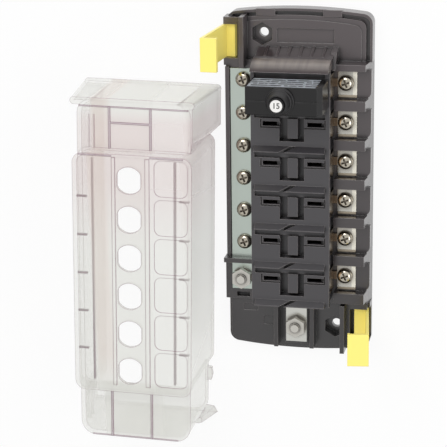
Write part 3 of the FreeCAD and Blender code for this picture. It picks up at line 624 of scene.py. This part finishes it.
def terminal_aprons():
    """The plated strip that shows below each output tab, down to the ledge."""
    first_low = 53.1
    left = 23.9
    right = 34.6
    reach = 3.3
    slope = 0.6
    ledge = 14.05
    apron_top = 14.9
    for way in range(ways):
        low = first_low - pitch * way
        high = low + reach
        apron = prism("terminal_apron_%d" % (way + 1), rectangle(left, right, low, high), ledge, apron_top,
                      rectangle(left, right, low + slope, high))
        apron.data.materials.clear()
        apron.data.materials.append(apron_metal)
        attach(apron, "base")


def rating_figure():
    """The rating printed on the button's disc."""
    disc_middle = (-0.0021, 0.0605, 0.07291)
    bpy.ops.object.select_all(action="DESELECT")
    bpy.ops.object.text_add(location=(0, 0, 0))
    figure = bpy.context.active_object
    figure.name = "rating_figure"
    figure.data.body = "15"
    figure.data.size = 0.0044
    figure.data.offset = 0.00007
    figure.data.align_x = "CENTER"
    figure.data.align_y = "CENTER"
    figure.data.extrude = 0.00002
    bpy.ops.object.convert(target="MESH")
    figure.location = disc_middle
    settle(figure)
    figure.data.materials.clear()
    figure.data.materials.append(ink_black)
    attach(figure, "button")


def soft_lamp(name, place, width, watts):
    """A square softbox, in metres, that looks at the middle of the frame."""
    bpy.ops.object.select_all(action="DESELECT")
    bpy.ops.object.light_add(type="AREA", location=place)
    lamp = bpy.context.active_object
    lamp.name = name
    lamp.data.size = width
    lamp.data.energy = watts
    lamp.rotation_euler = (-Vector(place)).to_track_quat("-Z", "Y").to_euler()


def surroundings():
    """A white studio: plain white to the camera, and to the pieces a sky that is darker low and left."""
    world = bpy.data.worlds.new("studio")
    bpy.context.scene.world = world
    world.use_nodes = True
    world.node_tree.nodes.clear()
    tree = Shade(world.node_tree)
    seen = tree.node("ShaderNodeLightPath", output="Is Camera Ray")
    way = tree.node("ShaderNodeTexCoord", output="Generated")
    height = tree.node("ShaderNodeSeparateXYZ", None, {"Vector": way}, 2)
    sky = tree.node("ShaderNodeValToRGB", {"stops": [
        (0.0, (0.16, 0.16, 0.16, 1.0)), (0.3, (0.25, 0.25, 0.25, 1.0)),
        (0.62, (1.0, 1.0, 1.0, 1.0)), (1.0, (0.8, 0.8, 0.8, 1.0))]}, {0: height})
    low_left = tree.node("ShaderNodeVectorMath", {"operation": "DOT_PRODUCT"},
                         {0: way, 1: (-0.7, -0.7, 0.1)}, 1)
    shaded = tree.node("ShaderNodeMapRange", None, {
        "Value": low_left, "From Min": 0.5, "From Max": 0.85, "To Min": 1.0, "To Max": 0.1})
    strength = sky * shaded * (1.0 - seen) + seen
    white = (1.0, 1.0, 1.0, 1.0)
    light = tree.node("ShaderNodeBackground", None, {"Color": white, "Strength": strength})
    tree.node("ShaderNodeOutputWorld", None, {"Surface": light})


def floor():
    """White paper that takes soft shadows, and that the camera and reflections see as nearly white."""
    drop = 0.0002
    bpy.ops.object.select_all(action="DESELECT")
    bpy.ops.mesh.primitive_plane_add(size=6.0, location=(0, 0, -drop))
    ground = bpy.context.active_object
    ground.name = "floor"
    settle(ground)
    finish, tree = new_finish("floor_white")
    camera_ray = tree.node("ShaderNodeLightPath", output="Is Camera Ray")
    glossy_ray = tree.node("ShaderNodeLightPath", output="Is Glossy Ray")
    through_ray = tree.node("ShaderNodeLightPath", output="Is Transmission Ray")
    direct = camera_ray.math("MAXIMUM", camera_ray, glossy_ray)
    direct = direct.math("MAXIMUM", direct, through_ray)
    paper = tree.node("ShaderNodeBsdfDiffuse", None, {"Color": (0.9, 0.9, 0.9, 1.0)})
    glow = tree.node("ShaderNodeEmission", None, {"Color": (1.0, 1.0, 1.0, 1.0), "Strength": 1.0})
    end_with(tree, tree.node("ShaderNodeMixShader", None, {0: direct * 0.9, 1: paper, 2: glow}))
    ground.data.materials.append(finish)


def photo_camera():
    """Where the photograph was taken from, solved from the base's edges and screw rows."""
    eye = bpy.data.cameras.new("photo_camera")
    eye.lens = 149.826
    eye.sensor_width = 36.0
    eye.clip_start = 0.01
    eye.clip_end = 20.0
    holder = bpy.data.objects.new("photo_camera", eye)
    bpy.context.scene.collection.objects.link(holder)
    right = Vector((0.97784, -0.01255, -0.20898))
    up = Vector((-0.04781, 0.95844, -0.28127))
    back = Vector((0.20382, 0.28502, 0.93660))
    turn = Matrix((right, up, back)).transposed()
    holder.matrix_world = Matrix.Translation((0.18188, 0.29144, 1.05838)) @ turn.to_4x4()
    bpy.context.scene.camera = holder


base_moulding()
cover_moulding()
terminal_aprons()
rating_figure()
soft_lamp("top_softbox", (-0.25, 0.75, 0.9), 0.6, 4.2)
soft_lamp("right_softbox", (0.8, -0.1, 0.8), 0.5, 2.2)
surroundings()
floor()
photo_camera()
bpy.context.scene.view_settings.view_transform = "Standard"
